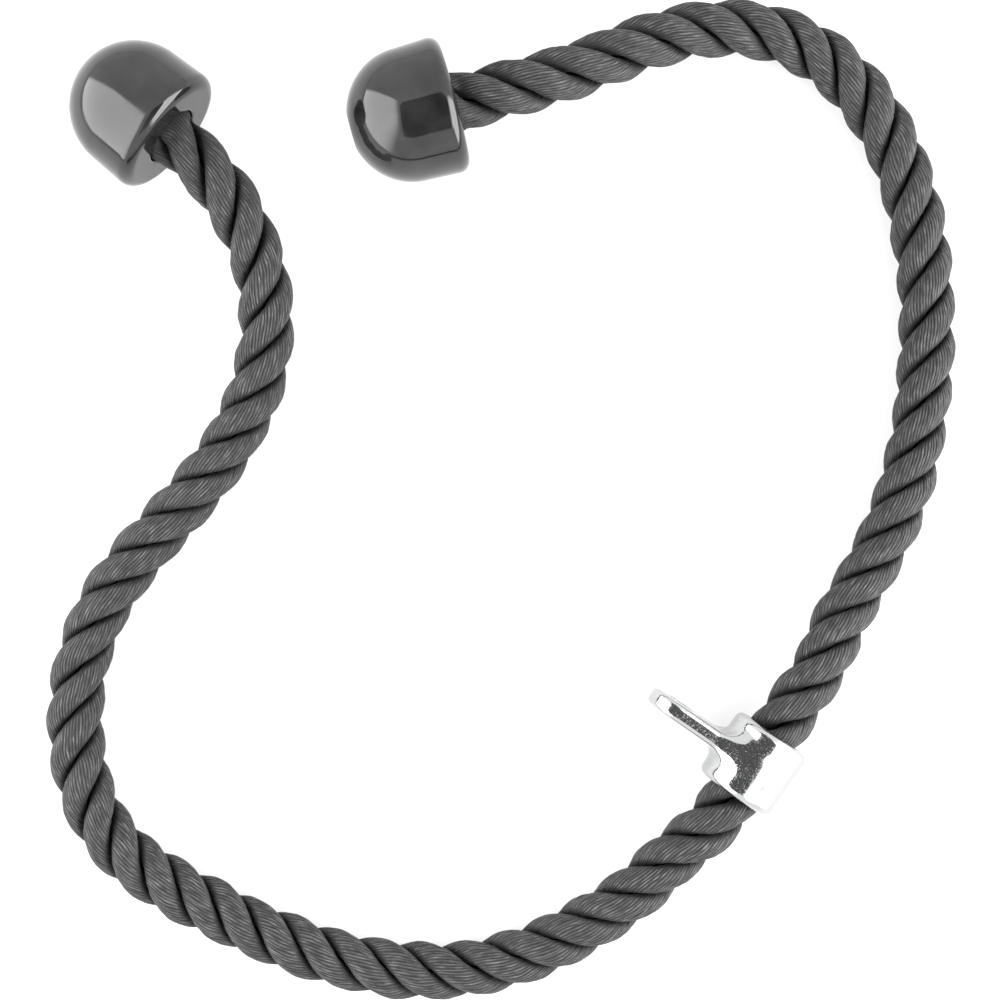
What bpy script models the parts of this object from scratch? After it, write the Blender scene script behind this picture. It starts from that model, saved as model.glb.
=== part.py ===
"""Triceps rope: a three-strand rope with a moulded cap screwed to each end and a sliding collar with a lug.

Metres, +Z up. The rope lies on the plane z = 0, and the collar's bore runs along X with its lug towards +Y.
"""

import math

import bmesh
import bpy
import numpy as np
from mathutils import Matrix, Vector

# Clearance left between neighbouring pieces
CLEARANCE = 0.0003

# Rope
ROPE_DIAMETER = 0.025
ROPE_POINT_SPACING = 0.046
ROPE_LIFT = 0.0001
ROPE_STRAIGHT_END = 0.005
FOLD_LENGTH = 0.065

# Collar and its liner
COLLAR_X = -0.080
COLLAR_Y = -0.1923
COLLAR_LENGTH = 0.0313
COLLAR_WALL = 0.004
COLLAR_EDGE_RADIUS = 0.002
COLLAR_TRAVEL_LEFT = 0.010
COLLAR_TRAVEL_RIGHT = 0.030
LINER_WALL = 0.0009
LINER_INSET = 0.0006
LINER_RIB_HEIGHT = 0.0008
LINER_RIB_WIDTH = 0.004

# Lug on the collar
LUG_REACH = 0.054
LUG_WIDTH = 0.026
LUG_THICKNESS = 0.0074
LUG_ROOT_FILLET = 0.0043
EYE_DIAMETER = 0.013

# End caps
LEFT_MOUTH_X = -0.0006
LEFT_MOUTH_Y = 0.1644
LEFT_ROPE_HEADING = math.radians(-94.1)
RIGHT_MOUTH_X = 0.0792
RIGHT_MOUTH_Y = 0.0738
RIGHT_ROPE_HEADING = math.radians(-40.3)
CAP_RIM_DIAMETER = 0.0574
CAP_SHOULDER_DIAMETER = 0.0562
CAP_LENGTH = 0.0454
CAP_DOME_DEPTH = 0.0258
CAP_DOME_SEMI_AXIS = 0.027
CAP_RIM_FILLET = 0.005
CAP_MOUTH_CHAMFER = 0.0008
CAP_WEB = 0.0045
COUNTERBORE_DEPTH = 0.0106

# Ferrule crimped on each rope end, with the screw, washer and plug behind it
FERRULE_WALL = 0.0011
FERRULE_RECESS = 0.006
FERRULE_END = 0.003
SCREW_DIAMETER = 0.006
SCREW_HEAD_DIAMETER = 0.0095
SCREW_HEAD_HEIGHT = 0.0036
SCREW_KEY_WIDTH = 0.004
SCREW_KEY_DEPTH = 0.0022
WASHER_DIAMETER = 0.0124
WASHER_THICKNESS = 0.0012
PLUG_THICKNESS = 0.0032
PLUG_CHAMFER = 0.0005

# Sizes that follow from those above
LINER_BORE = ROPE_DIAMETER + 2 * CLEARANCE
LINER_DIAMETER = LINER_BORE + 2 * LINER_WALL
COLLAR_BORE = LINER_DIAMETER + 2 * CLEARANCE
COLLAR_DIAMETER = COLLAR_BORE + 2 * COLLAR_WALL
FERRULE_BORE = ROPE_DIAMETER + 2 * CLEARANCE
FERRULE_DIAMETER = FERRULE_BORE + 2 * FERRULE_WALL
SOCKET_DIAMETER = FERRULE_DIAMETER + 2 * CLEARANCE
SCREW_HOLE_DIAMETER = SCREW_DIAMETER + 2 * CLEARANCE
COUNTERBORE_DIAMETER = WASHER_DIAMETER + 2 * CLEARANCE
COUNTERBORE_FLOOR = CAP_LENGTH - COUNTERBORE_DEPTH
SOCKET_DEPTH = COUNTERBORE_FLOOR - CAP_WEB
FERRULE_TOP = SOCKET_DEPTH - CLEARANCE
ROPE_INSERT = FERRULE_TOP - FERRULE_END - CLEARANCE
STRAIGHT_LEFT_X = COLLAR_X - COLLAR_LENGTH / 2 - COLLAR_TRAVEL_LEFT
STRAIGHT_RIGHT_X = COLLAR_X + COLLAR_LENGTH / 2 + COLLAR_TRAVEL_RIGHT
COLLAR_HEIGHT = COLLAR_DIAMETER / 2
CAP_HEIGHT = CAP_RIM_DIAMETER / 2

# Route of the rope's centre from the straight stretch in the collar to each cap, points on the line
# measured in the photograph
LEFT_ROUTE = [
    (-0.1277, -0.1880, 0.0152),
    (-0.1490, -0.1841, 0.0128),
    (-0.1701, -0.1772, 0.0125),
    (-0.2207, -0.1452, 0.0125),
    (-0.2509, -0.0972, 0.0125),
    (-0.2663, -0.0290, 0.0125),
    (-0.2653, 0.0181, 0.0125),
    (-0.2318, 0.0602, 0.0125),
    (-0.1814, 0.0785, 0.0125),
    (-0.1211, 0.0738, 0.0125),
    (-0.0659, 0.0781, 0.0130),
    (-0.0286, 0.1006, 0.0175),
    (-0.0082, 0.1307, 0.0255),
]
RIGHT_ROUTE = [
    (-0.0120, -0.1894, 0.0152),
    (0.0120, -0.1872, 0.0128),
    (0.0432, -0.1827, 0.0125),
    (0.0971, -0.1611, 0.0125),
    (0.1518, -0.1203, 0.0125),
    (0.1850, -0.0692, 0.0125),
    (0.1874, -0.0267, 0.0128),
    (0.1626, 0.0121, 0.0156),
    (0.1216, 0.0400, 0.0233),
]

# Fineness of the round shapes
ROUND_SIDES = 48
CAP_SIDES = 40
SMALL_SIDES = 24
EYE_SIDES = 32
SCREW_KEY_SIDES = 6
ARC_STEPS = 5
DOME_STEPS = 11
LUG_END_STEPS = 16
ROUTE_STEPS = 60
ROPE_BEVEL_RESOLUTION = 4
SMOOTH_ANGLE = math.radians(35)
WELD_DISTANCE = 0.000001


def make_material(name, colour, roughness, metallic=0.0):
    material = bpy.data.materials.new(name)
    material.use_nodes = True
    shader = material.node_tree.nodes["Principled BSDF"]
    shader.inputs["Base Color"].default_value = (*colour, 1.0)
    shader.inputs["Roughness"].default_value = roughness
    shader.inputs["Metallic"].default_value = metallic
    return material


def add_object(name, data, parent=None):
    piece = bpy.data.objects.new(name, data)
    bpy.context.scene.collection.objects.link(piece)
    piece.parent = parent
    return piece


def add_axis(name, place, parent=None):
    """An empty on a joint's axis; place is in world coordinates."""
    axis = add_object(name, None, parent)
    axis.empty_display_size = ROPE_DIAMETER
    axis.location = place - parent.matrix_world.translation if parent else place
    bpy.context.view_layer.update()
    return axis


def mesh_object(name, bm, material, parent=None):
    mesh = bpy.data.meshes.new(name)
    bmesh.ops.remove_doubles(bm, verts=bm.verts, dist=WELD_DISTANCE)
    bmesh.ops.recalc_face_normals(bm, faces=bm.faces)
    bm.to_mesh(mesh)
    bm.free()
    mesh.shade_smooth()
    mesh.set_sharp_from_angle(angle=SMOOTH_ANGLE)
    if material:
        mesh.materials.append(material)
    return add_object(name, mesh, parent)


def turned(profile, sides, closed=True):
    """Spin (radius, height) points about Z.

    A closed profile makes a ring; an open one starts and ends on the axis.
    """
    bm = bmesh.new()
    verts = [bm.verts.new((radius, 0, height)) for radius, height in profile]
    ends = verts[1:] + verts[:1] if closed else verts[1:]
    edges = [bm.edges.new(pair) for pair in zip(verts, ends)]
    bmesh.ops.spin(
        bm,
        geom=verts + edges,
        cent=(0, 0, 0),
        axis=(0, 0, 1),
        angle=2 * math.pi,
        steps=sides,
        use_merge=True,
    )
    return bm


def arc(centre, radii, start, end, steps):
    """Points on an ellipse's arc, with the angles in degrees."""
    angles = np.radians(np.linspace(start, end, steps + 1))
    return [(centre[0] + radii[0] * math.cos(a), centre[1] + radii[1] * math.sin(a)) for a in angles]


def cutter(name, bm, parent):
    guide = mesh_object(name, bm, None, parent)
    guide.hide_render = True
    guide.display_type = "WIRE"
    return guide


def cut_with(piece, tool, operation="DIFFERENCE"):
    modifier = piece.modifiers.new(tool.name, "BOOLEAN")
    modifier.object = tool
    modifier.operation = operation
    modifier.solver = "EXACT"


def smooth_route(points, start_way, end_way):
    """A curve through the points whose curvature has no jumps, with its direction set at both ends.

    The slopes at the points solve the usual equations of a cubic spline over the chord lengths.
    """
    stops = np.array(points, float)
    chords = np.linalg.norm(np.diff(stops, axis=0), axis=1)
    count = len(stops)
    matrix = np.zeros((count, count))
    sums = np.zeros((count, 3))
    matrix[0, 0] = matrix[-1, -1] = 1
    sums[0] = start_way
    sums[-1] = end_way
    for i in range(1, count - 1):
        before = chords[i - 1]
        after = chords[i]
        matrix[i, i - 1 : i + 2] = after, 2 * (before + after), before
        step_in = (stops[i] - stops[i - 1]) / before
        step_out = (stops[i + 1] - stops[i]) / after
        sums[i] = 3 * (after * step_in + before * step_out)
    slopes = np.linalg.solve(matrix, sums)
    t = np.linspace(0, 1, ROUTE_STEPS, endpoint=False)[:, None]
    curve = [
        (2 * t**3 - 3 * t**2 + 1) * stops[i]
        + (t**3 - 2 * t**2 + t) * chords[i] * slopes[i]
        + (3 * t**2 - 2 * t**3) * stops[i + 1]
        + (t**3 - t**2) * chords[i] * slopes[i + 1]
        for i in range(count - 1)
    ]
    curve = np.vstack([*curve, stops[-1:]])
    curve[:, 2] = np.maximum(curve[:, 2], ROPE_DIAMETER / 2 + ROPE_LIFT)
    return curve


def distances(curve):
    return np.concatenate([[0], np.cumsum(np.linalg.norm(np.diff(curve, axis=0), axis=1))])


def point_at(curve, distance):
    along = distances(curve)
    return Vector([float(np.interp(distance, along, curve[:, axis])) for axis in range(3)])


def way_at(curve, distance):
    near = ROPE_STRAIGHT_END / 2
    return (point_at(curve, distance + near) - point_at(curve, distance - near)).normalized()


def stretch_points(curve, start, end, start_way=None, end_way=None):
    """Points of one stretch of rope, with short straight ends so that its faces are square."""
    first = point_at(curve, start)
    last = point_at(curve, end)
    start_way = start_way or way_at(curve, start)
    end_way = end_way or way_at(curve, end)
    count = max(1, round((end - start) / ROPE_POINT_SPACING))
    between = np.linspace(start, end, count + 1)[1:-1]
    return [
        first,
        first + start_way * ROPE_STRAIGHT_END,
        *[point_at(curve, distance) for distance in between],
        last - end_way * ROPE_STRAIGHT_END,
        last,
    ]


def rope_tube(name, points, material, parent):
    """A plain tube with filled ends along the points, which are in world coordinates."""
    curve = bpy.data.curves.new(name, "CURVE")
    curve.dimensions = "3D"
    curve.fill_mode = "FULL"
    curve.bevel_depth = ROPE_DIAMETER / 2
    curve.bevel_resolution = ROPE_BEVEL_RESOLUTION
    curve.use_fill_caps = True
    spline = curve.splines.new("POLY")
    spline.points.add(len(points) - 1)
    origin = parent.matrix_world.translation
    for spot, place in zip(spline.points, points):
        spot.co = (*(place - origin), 1)
    curve.materials.append(material)
    return add_object(name, curve, parent)


def heading_vector(heading):
    return Vector((math.cos(heading), math.sin(heading), 0))


def cap_seat(name, mouth, heading, parent):
    """An empty at the middle of a cap's mouth, with its Z axis pointing into the cap."""
    into = -heading_vector(heading)
    up = Vector((0, 0, 1))
    turn = Matrix((up, into.cross(up), into)).transposed().to_4x4()
    seat = add_object(name, None, parent)
    seat.empty_display_size = ROPE_DIAMETER
    seat.matrix_basis = Matrix.Translation(mouth - parent.matrix_world.translation) @ turn
    bpy.context.view_layer.update()
    return seat


def cap_profile():
    """Outline of a cap from its mouth round the outside to the tip, and back down the stepped passage."""
    rim = CAP_RIM_DIAMETER / 2
    shoulder = CAP_SHOULDER_DIAMETER / 2
    dome_base = CAP_LENGTH - CAP_DOME_DEPTH
    dome_end = math.degrees(math.asin(CAP_DOME_DEPTH / CAP_DOME_SEMI_AXIS))
    socket = SOCKET_DIAMETER / 2
    fillet = (CAP_RIM_FILLET, CAP_RIM_FILLET)
    rim_arc = arc((rim - CAP_RIM_FILLET, CAP_RIM_FILLET), fillet, -90, 0, ARC_STEPS)
    dome_arc = arc((0, dome_base), (shoulder, CAP_DOME_SEMI_AXIS), 0, dome_end, DOME_STEPS)
    return [
        (socket, CAP_MOUTH_CHAMFER),
        (socket + CAP_MOUTH_CHAMFER, 0),
        *rim_arc,
        *dome_arc,
        (COUNTERBORE_DIAMETER / 2, CAP_LENGTH),
        (COUNTERBORE_DIAMETER / 2, COUNTERBORE_FLOOR),
        (SCREW_HOLE_DIAMETER / 2, COUNTERBORE_FLOOR),
        (SCREW_HOLE_DIAMETER / 2, SOCKET_DEPTH),
        (socket, SOCKET_DEPTH),
    ]


def make_cap(side, seat, materials):
    mesh_object(f"{side}_cap", turned(cap_profile(), CAP_SIDES), materials["cap"], seat)


def make_ferrule(side, seat, materials):
    """A cup crimped on the rope's end, with a threaded hole in its closed end."""
    profile = [
        (FERRULE_BORE / 2, FERRULE_RECESS),
        (FERRULE_DIAMETER / 2, FERRULE_RECESS),
        (FERRULE_DIAMETER / 2, FERRULE_TOP),
        (SCREW_HOLE_DIAMETER / 2, FERRULE_TOP),
        (SCREW_HOLE_DIAMETER / 2, FERRULE_TOP - FERRULE_END),
        (FERRULE_BORE / 2, FERRULE_TOP - FERRULE_END),
    ]
    mesh_object(f"{side}_ferrule", turned(profile, CAP_SIDES), materials["plated"], seat)


def make_washer(side, seat, materials):
    low = COUNTERBORE_FLOOR + CLEARANCE
    profile = [
        (SCREW_HOLE_DIAMETER / 2, low),
        (WASHER_DIAMETER / 2, low),
        (WASHER_DIAMETER / 2, low + WASHER_THICKNESS),
        (SCREW_HOLE_DIAMETER / 2, low + WASHER_THICKNESS),
    ]
    mesh_object(f"{side}_washer", turned(profile, SMALL_SIDES), materials["plated"], seat)


def make_screw(side, seat, materials):
    """A cap screw with a hexagonal key socket, from the washer down to the inside of the ferrule's end."""
    tip = FERRULE_TOP - FERRULE_END
    head_low = COUNTERBORE_FLOOR + WASHER_THICKNESS + 2 * CLEARANCE
    head_top = head_low + SCREW_HEAD_HEIGHT
    profile = [
        (0, tip),
        (SCREW_DIAMETER / 2, tip),
        (SCREW_DIAMETER / 2, head_low),
        (SCREW_HEAD_DIAMETER / 2, head_low),
        (SCREW_HEAD_DIAMETER / 2, head_top),
        (0, head_top),
    ]
    solid = turned(profile, SMALL_SIDES, closed=False)
    screw = mesh_object(f"{side}_screw", solid, materials["plated"], seat)
    key_corner = SCREW_KEY_WIDTH / 2 / math.cos(math.pi / SCREW_KEY_SIDES)
    key_profile = [
        (0, head_top - SCREW_KEY_DEPTH),
        (key_corner, head_top - SCREW_KEY_DEPTH),
        (key_corner, head_top + SCREW_KEY_DEPTH),
        (0, head_top + SCREW_KEY_DEPTH),
    ]
    key = turned(key_profile, SCREW_KEY_SIDES, closed=False)
    cut_with(screw, cutter(f"{side}_screw_key_cut", key, seat))


def make_plug(side, seat, materials):
    radius = COUNTERBORE_DIAMETER / 2 - CLEARANCE
    profile = [
        (0, CAP_LENGTH - PLUG_THICKNESS),
        (radius, CAP_LENGTH - PLUG_THICKNESS),
        (radius, CAP_LENGTH - PLUG_CHAMFER),
        (radius - PLUG_CHAMFER, CAP_LENGTH),
        (0, CAP_LENGTH),
    ]
    mesh_object(f"{side}_plug", turned(profile, SMALL_SIDES, closed=False), materials["cap"], seat)


def lay_along_x(bm):
    """Turn a shape made about Z so that its axis lies along X."""
    bmesh.ops.rotate(bm, verts=bm.verts, cent=(0, 0, 0), matrix=Matrix.Rotation(math.pi / 2, 3, "Y"))
    return bm


def barrel_shape():
    radius = COLLAR_DIAMETER / 2
    half = COLLAR_LENGTH / 2
    edge = (COLLAR_EDGE_RADIUS, COLLAR_EDGE_RADIUS)
    low_arc = arc((radius - edge[0], edge[1] - half), edge, -90, 0, ARC_STEPS)
    high_arc = arc((radius - edge[0], half - edge[1]), edge, 0, 90, ARC_STEPS)
    return lay_along_x(turned([(0, -half), *low_arc, *high_arc, (0, half)], ROUND_SIDES, closed=False))


def lug_disc_shape():
    """A disc about the barrel's axis, as thick as the lug, that flares into the barrel."""
    barrel = COLLAR_DIAMETER / 2
    half = LUG_THICKNESS / 2
    fillet = (LUG_ROOT_FILLET, LUG_ROOT_FILLET)
    inside = barrel - COLLAR_WALL / 2
    high_arc = arc((barrel + fillet[0], half + fillet[1]), fillet, 180, 270, ARC_STEPS)
    low_arc = [(radius, -height) for radius, height in reversed(high_arc)]
    outside = LUG_REACH + LUG_THICKNESS
    profile = [
        (inside, half + fillet[1]),
        *high_arc,
        (outside, half),
        (outside, -half),
        *low_arc,
        (inside, -half - fillet[1]),
    ]
    return lay_along_x(turned(profile, ROUND_SIDES))


def lug_side_shape():
    """A block with the lug's side outline: straight flanks and a round end."""
    half = LUG_WIDTH / 2
    depth = LUG_THICKNESS + 2 * LUG_ROOT_FILLET
    outline = [(0, -half), *arc((LUG_REACH - half, 0), (half, half), -90, 90, LUG_END_STEPS), (0, half)]
    bm = bmesh.new()
    verts = [bm.verts.new((-depth, y, z)) for y, z in outline]
    face = bm.faces.new(verts)
    sweep = bmesh.ops.extrude_face_region(bm, geom=[face])
    moved = [item for item in sweep["geom"] if isinstance(item, bmesh.types.BMVert)]
    bmesh.ops.translate(bm, verts=moved, vec=(2 * depth, 0, 0))
    return bm


def bore_shape():
    """The hole for the liner, with the groove for its rib, run past both ends of the barrel."""
    bore = COLLAR_BORE / 2
    groove = bore + LINER_RIB_HEIGHT
    half_groove = LINER_RIB_WIDTH / 2 + CLEARANCE
    profile = [
        (0, -COLLAR_LENGTH),
        (bore, -COLLAR_LENGTH),
        (bore, -half_groove),
        (groove, -half_groove),
        (groove, half_groove),
        (bore, half_groove),
        (bore, COLLAR_LENGTH),
        (0, COLLAR_LENGTH),
    ]
    return lay_along_x(turned(profile, ROUND_SIDES, closed=False))


def eye_shape():
    profile = [
        (0, -LUG_THICKNESS),
        (EYE_DIAMETER / 2, -LUG_THICKNESS),
        (EYE_DIAMETER / 2, LUG_THICKNESS),
        (0, LUG_THICKNESS),
    ]
    bm = lay_along_x(turned(profile, EYE_SIDES, closed=False))
    bmesh.ops.translate(bm, verts=bm.verts, vec=(0, LUG_REACH - LUG_WIDTH / 2, 0))
    return bm


def make_collar(axis, materials):
    """One casting: a barrel with rounded edges and a lug with an eye."""
    collar = mesh_object("collar", barrel_shape(), materials["chrome"], axis)
    lug = cutter("lug_disc", lug_disc_shape(), axis)
    cut_with(lug, cutter("lug_side", lug_side_shape(), axis), "INTERSECT")
    cut_with(collar, lug, "UNION")
    cut_with(collar, cutter("collar_bore_cut", bore_shape(), axis))
    cut_with(collar, cutter("eye_cut", eye_shape(), axis))


def make_liner(axis, materials):
    """A thin sleeve between rope and collar, held in the collar's bore by a rib."""
    half = COLLAR_LENGTH / 2 - LINER_INSET
    bore = LINER_BORE / 2
    outside = LINER_DIAMETER / 2
    rib = outside + LINER_RIB_HEIGHT
    half_rib = LINER_RIB_WIDTH / 2
    profile = [
        (bore, -half),
        (outside, -half),
        (outside, -half_rib),
        (rib, -half_rib),
        (rib, half_rib),
        (outside, half_rib),
        (outside, half),
        (bore, half),
    ]
    mesh_object("collar_liner", lay_along_x(turned(profile, ROUND_SIDES)), materials["nylon"], axis)


def make_half(side, route, straight_x, way_x, mouth, heading, root, materials):
    """One half of the rope, its fold next to the collar and the cap on its end."""
    start = Vector((straight_x, COLLAR_Y, COLLAR_HEIGHT))
    start_way = Vector((way_x, 0, 0))
    end_way = -heading_vector(heading)
    curve = smooth_route([start, *route, mouth], start_way, end_way)
    length = distances(curve)[-1]
    gap = CLEARANCE / 2

    fold_axis = add_axis(f"{side}_fold_axis", point_at(curve, FOLD_LENGTH / 2), root)
    bend = stretch_points(curve, gap, FOLD_LENGTH - gap, start_way=start_way)
    rope_tube(f"rope_{side}_bend", bend, materials["rope"], root)
    run = stretch_points(curve, FOLD_LENGTH + gap, length, end_way=end_way)
    run.append(mouth + end_way * ROPE_INSERT)
    rope_tube(f"rope_{side}_run", run, materials["rope"], fold_axis)

    seat = cap_seat(f"{side}_cap_seat", mouth, heading, fold_axis)
    for make in (make_cap, make_ferrule, make_washer, make_screw, make_plug):
        make(side, seat, materials)


def build():
    for old in list(bpy.data.objects):
        bpy.data.objects.remove(old, do_unlink=True)

    materials = {
        "rope": make_material("black nylon rope", (0.045, 0.045, 0.047), 0.6),
        "cap": make_material("gloss black plastic", (0.035, 0.035, 0.037), 0.12),
        "chrome": make_material("polished chrome", (0.8, 0.8, 0.81), 0.05, 1.0),
        "nylon": make_material("natural nylon", (0.75, 0.73, 0.68), 0.4),
        "plated": make_material("zinc-plated steel", (0.6, 0.6, 0.62), 0.3, 1.0),
    }

    root = add_axis("rope_root", Vector((0, 0, 0)))
    ends = [Vector((x, COLLAR_Y, COLLAR_HEIGHT)) for x in (STRAIGHT_LEFT_X, STRAIGHT_RIGHT_X)]
    rope_tube("rope_middle", ends, materials["rope"], root)

    slide_axis = add_axis("collar_slide_axis", Vector((COLLAR_X, COLLAR_Y, COLLAR_HEIGHT)), root)
    make_liner(slide_axis, materials)
    swivel_axis = add_axis("collar_swivel_axis", Vector((COLLAR_X, COLLAR_Y, COLLAR_HEIGHT)), slide_axis)
    make_collar(swivel_axis, materials)

    left_mouth = Vector((LEFT_MOUTH_X, LEFT_MOUTH_Y, CAP_HEIGHT))
    right_mouth = Vector((RIGHT_MOUTH_X, RIGHT_MOUTH_Y, CAP_HEIGHT))
    make_half("left", LEFT_ROUTE, STRAIGHT_LEFT_X, -1, left_mouth, LEFT_ROPE_HEADING, root, materials)
    make_half("right", RIGHT_ROUTE, STRAIGHT_RIGHT_X, 1, right_mouth, RIGHT_ROPE_HEADING, root, materials)


build()
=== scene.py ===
import math

import bpy
import numpy as np
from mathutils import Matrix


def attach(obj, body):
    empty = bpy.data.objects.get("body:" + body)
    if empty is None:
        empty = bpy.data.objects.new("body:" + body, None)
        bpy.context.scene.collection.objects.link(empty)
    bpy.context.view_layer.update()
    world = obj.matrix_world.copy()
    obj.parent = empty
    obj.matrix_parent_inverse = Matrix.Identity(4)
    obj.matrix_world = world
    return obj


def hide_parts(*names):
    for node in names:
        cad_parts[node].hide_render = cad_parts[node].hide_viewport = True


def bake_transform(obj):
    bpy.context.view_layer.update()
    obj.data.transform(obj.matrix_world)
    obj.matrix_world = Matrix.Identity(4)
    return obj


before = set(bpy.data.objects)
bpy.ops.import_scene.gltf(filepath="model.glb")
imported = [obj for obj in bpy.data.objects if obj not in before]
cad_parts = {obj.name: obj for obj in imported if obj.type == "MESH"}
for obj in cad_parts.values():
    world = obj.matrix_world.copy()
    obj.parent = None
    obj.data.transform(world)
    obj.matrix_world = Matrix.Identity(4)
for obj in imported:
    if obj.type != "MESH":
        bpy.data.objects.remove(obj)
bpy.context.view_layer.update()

# Camera: straight above, turned so that the collar's lug points up and to the left
cameraLook = {
    "place": (-0.04854, -0.03763, 0.682),
    "turn": -55.4,  # degrees about the line of sight
    "lens": 55.44,  # millimetres, on a sensor 36 wide
    "sensor": 36.0,
}


def makeCamera(look):
    data = bpy.data.cameras.new("camera")
    data.lens = look["lens"]
    data.sensor_width = look["sensor"]
    data.clip_start = 0.01
    camera = bpy.data.objects.new("camera", data)
    camera.location = look["place"]
    camera.rotation_euler = (0, 0, math.radians(look["turn"]))
    bpy.context.scene.collection.objects.link(camera)
    bpy.context.scene.camera = camera


makeCamera(cameraLook)
print("camera placed")


# Meshes: points, faces and normals go in as whole arrays
def putMesh(name, points, quads, triangles=None, material=None, normals=None, roundEnds=True):
    if triangles is None:
        triangles = np.zeros((0, 3), int)
    corners = np.concatenate([quads.ravel(), triangles.ravel()])
    quadStarts = np.arange(len(quads)) * 4
    triangleStarts = len(quads) * 4 + np.arange(len(triangles)) * 3
    starts = np.concatenate([quadStarts, triangleStarts])
    mesh = bpy.data.meshes.new(name)
    mesh.vertices.add(len(points))
    mesh.vertices.foreach_set("co", np.ascontiguousarray(points, np.float32).ravel())
    mesh.loops.add(len(corners))
    mesh.loops.foreach_set("vertex_index", corners.astype(np.int32))
    mesh.polygons.add(len(starts))
    mesh.polygons.foreach_set("loop_start", starts.astype(np.int32))
    smooth = np.ones(len(starts), bool)
    smooth[len(quads) :] = roundEnds
    mesh.polygons.foreach_set("use_smooth", smooth)
    mesh.update(calc_edges=True)
    if material:
        mesh.materials.append(material)
    if normals is not None:
        mesh.normals_split_custom_set_from_vertices(normals)
    piece = bpy.data.objects.new(name, mesh)
    bpy.context.scene.collection.objects.link(piece)
    return piece


def addNumber(mesh, name, values):
    attribute = mesh.attributes.new(name, "FLOAT", "POINT")
    attribute.data.foreach_set("value", np.ascontiguousarray(values, np.float32).ravel())


# Materials: small helpers that join shader nodes
def startMaterial(name, colour, roughness, metallic=0.0):
    material = bpy.data.materials.new(name)
    material.use_nodes = True
    material.diffuse_color = (*colour, 1)
    shader = material.node_tree.nodes["Principled BSDF"]
    shader.inputs["Base Color"].default_value = (*colour, 1)
    shader.inputs["Roughness"].default_value = roughness
    shader.inputs["Metallic"].default_value = metallic
    return material, material.node_tree, shader


def addNode(tree, kind, values=None, **settings):
    made = tree.nodes.new(kind)
    for key, value in settings.items():
        setattr(made, key, value)
    for key, value in (values or {}).items():
        made.inputs[key].default_value = value
    return made


def joinNodes(tree, source, output, target, socket):
    tree.links.new(source.outputs[output], target.inputs[socket])


def addRange(tree, source, output, low, high, toLow, toHigh):
    # straight-line change from one range of values to another, held at both ends
    values = {"From Min": low, "From Max": high, "To Min": toLow, "To Max": toHigh}
    made = addNode(tree, "ShaderNodeMapRange", values)
    joinNodes(tree, source, output, made, "Value")
    return made


def addColours(tree, source, output, stops):
    ramp = addNode(tree, "ShaderNodeValToRGB")
    elements = ramp.color_ramp.elements
    while len(elements) < len(stops):
        elements.new(0.5)
    for element, (place, colour) in zip(elements, stops):
        element.position = place
        element.color = (*colour, 1)
    joinNodes(tree, source, output, ramp, "Fac")
    return ramp


def addSpeckle(tree, scale, detail=3.0, roughness=0.5, distortion=0.0):
    # cloud noise on the piece's own coordinates, which here are the frame's metres
    place = addNode(tree, "ShaderNodeTexCoord")
    values = {"Scale": scale, "Detail": detail, "Roughness": roughness, "Distortion": distortion}
    noise = addNode(tree, "ShaderNodeTexNoise", values)
    joinNodes(tree, place, "Object", noise, "Vector")
    return noise


def addBump(tree, source, output, shader, distance, strength=1.0, before=None):
    bump = addNode(tree, "ShaderNodeBump", {"Distance": distance, "Strength": strength})
    joinNodes(tree, source, output, bump, "Height")
    if before:
        joinNodes(tree, before, "Normal", bump, "Normal")
    joinNodes(tree, bump, "Normal", shader, "Normal")
    return bump


# Rope: black three-strand nylon, laid right-handed
ropeShape = {
    "diameter": 0.025,
    "lift": 0.0001,
    "strandOut": 0.00688,  # from the rope's middle to the middle of a strand
    "crown": 0.0080,  # radius of a strand's outer face
    "gap": 0.0019,  # between the walls of two strands, at the rope's surface
    "innerGap": -0.0003,  # and next to its middle, where they press into each other
    "mouthGap": 0.0033,  # the same beside the caps, where the rope is slack
    "slackReach": 0.045,
    "collarSlack": 1.5,  # share of that slack next to the collar
    "collarReach": 0.009,
    "core": 0.0064,  # from a strand's middle to its flat inner side
    "corner": 12,  # the higher, the sharper a strand's shoulders
    "yarns": 30,  # in each strand
    "sidesPerYarn": 4,
    "yarnGroove": 0.00042,
    "yarnUneven": 0.00013,
    "yarnSway": 0.13,  # of a yarn's width, to either side
    "strandUneven": 0.00018,
    "yarnSlant": math.radians(8),  # of the outermost yarns against the rope's own line
    "yarnRadius": 0.0062,  # mean radius on which they lie in a strand
    "plugRadius": 0.01325,  # of the rope where it fills a cap's mouth
    "plugStart": 0.0040,  # outside the mouth
    "plugReach": 0.0055,
    "shadeStart": 0.0013,  # from the middle of a gap, where the painted shade on the yarns is darkest
    "shadeReach": 0.0034,  # and where that painted shade fades out
    "shadeUneven": 0.18,  # share by which that varies from yarn to yarn
    "slackShade": 0.0020,  # and how much further where the strands lie slack
    "mouthShade": 1.0,  # painted shade over all yarns inside the mouths
    "groovePower": 1.6,  # the higher, the sharper the grooves between yarns
    "plugGap": 0.0001,
    # longest and shortest of the waves along the rope in which the yarns and strands vary
    "riseWaves": (0.05, 0.008),
    "toneWaves": (0.03, 0.006),
    "swayWaves": (0.06, 0.012),
    "swellWaves": (0.12, 0.04),
    "rowStep": 0.0012,
    "pathSteps": 60,
    "seed": 11,
}

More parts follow.
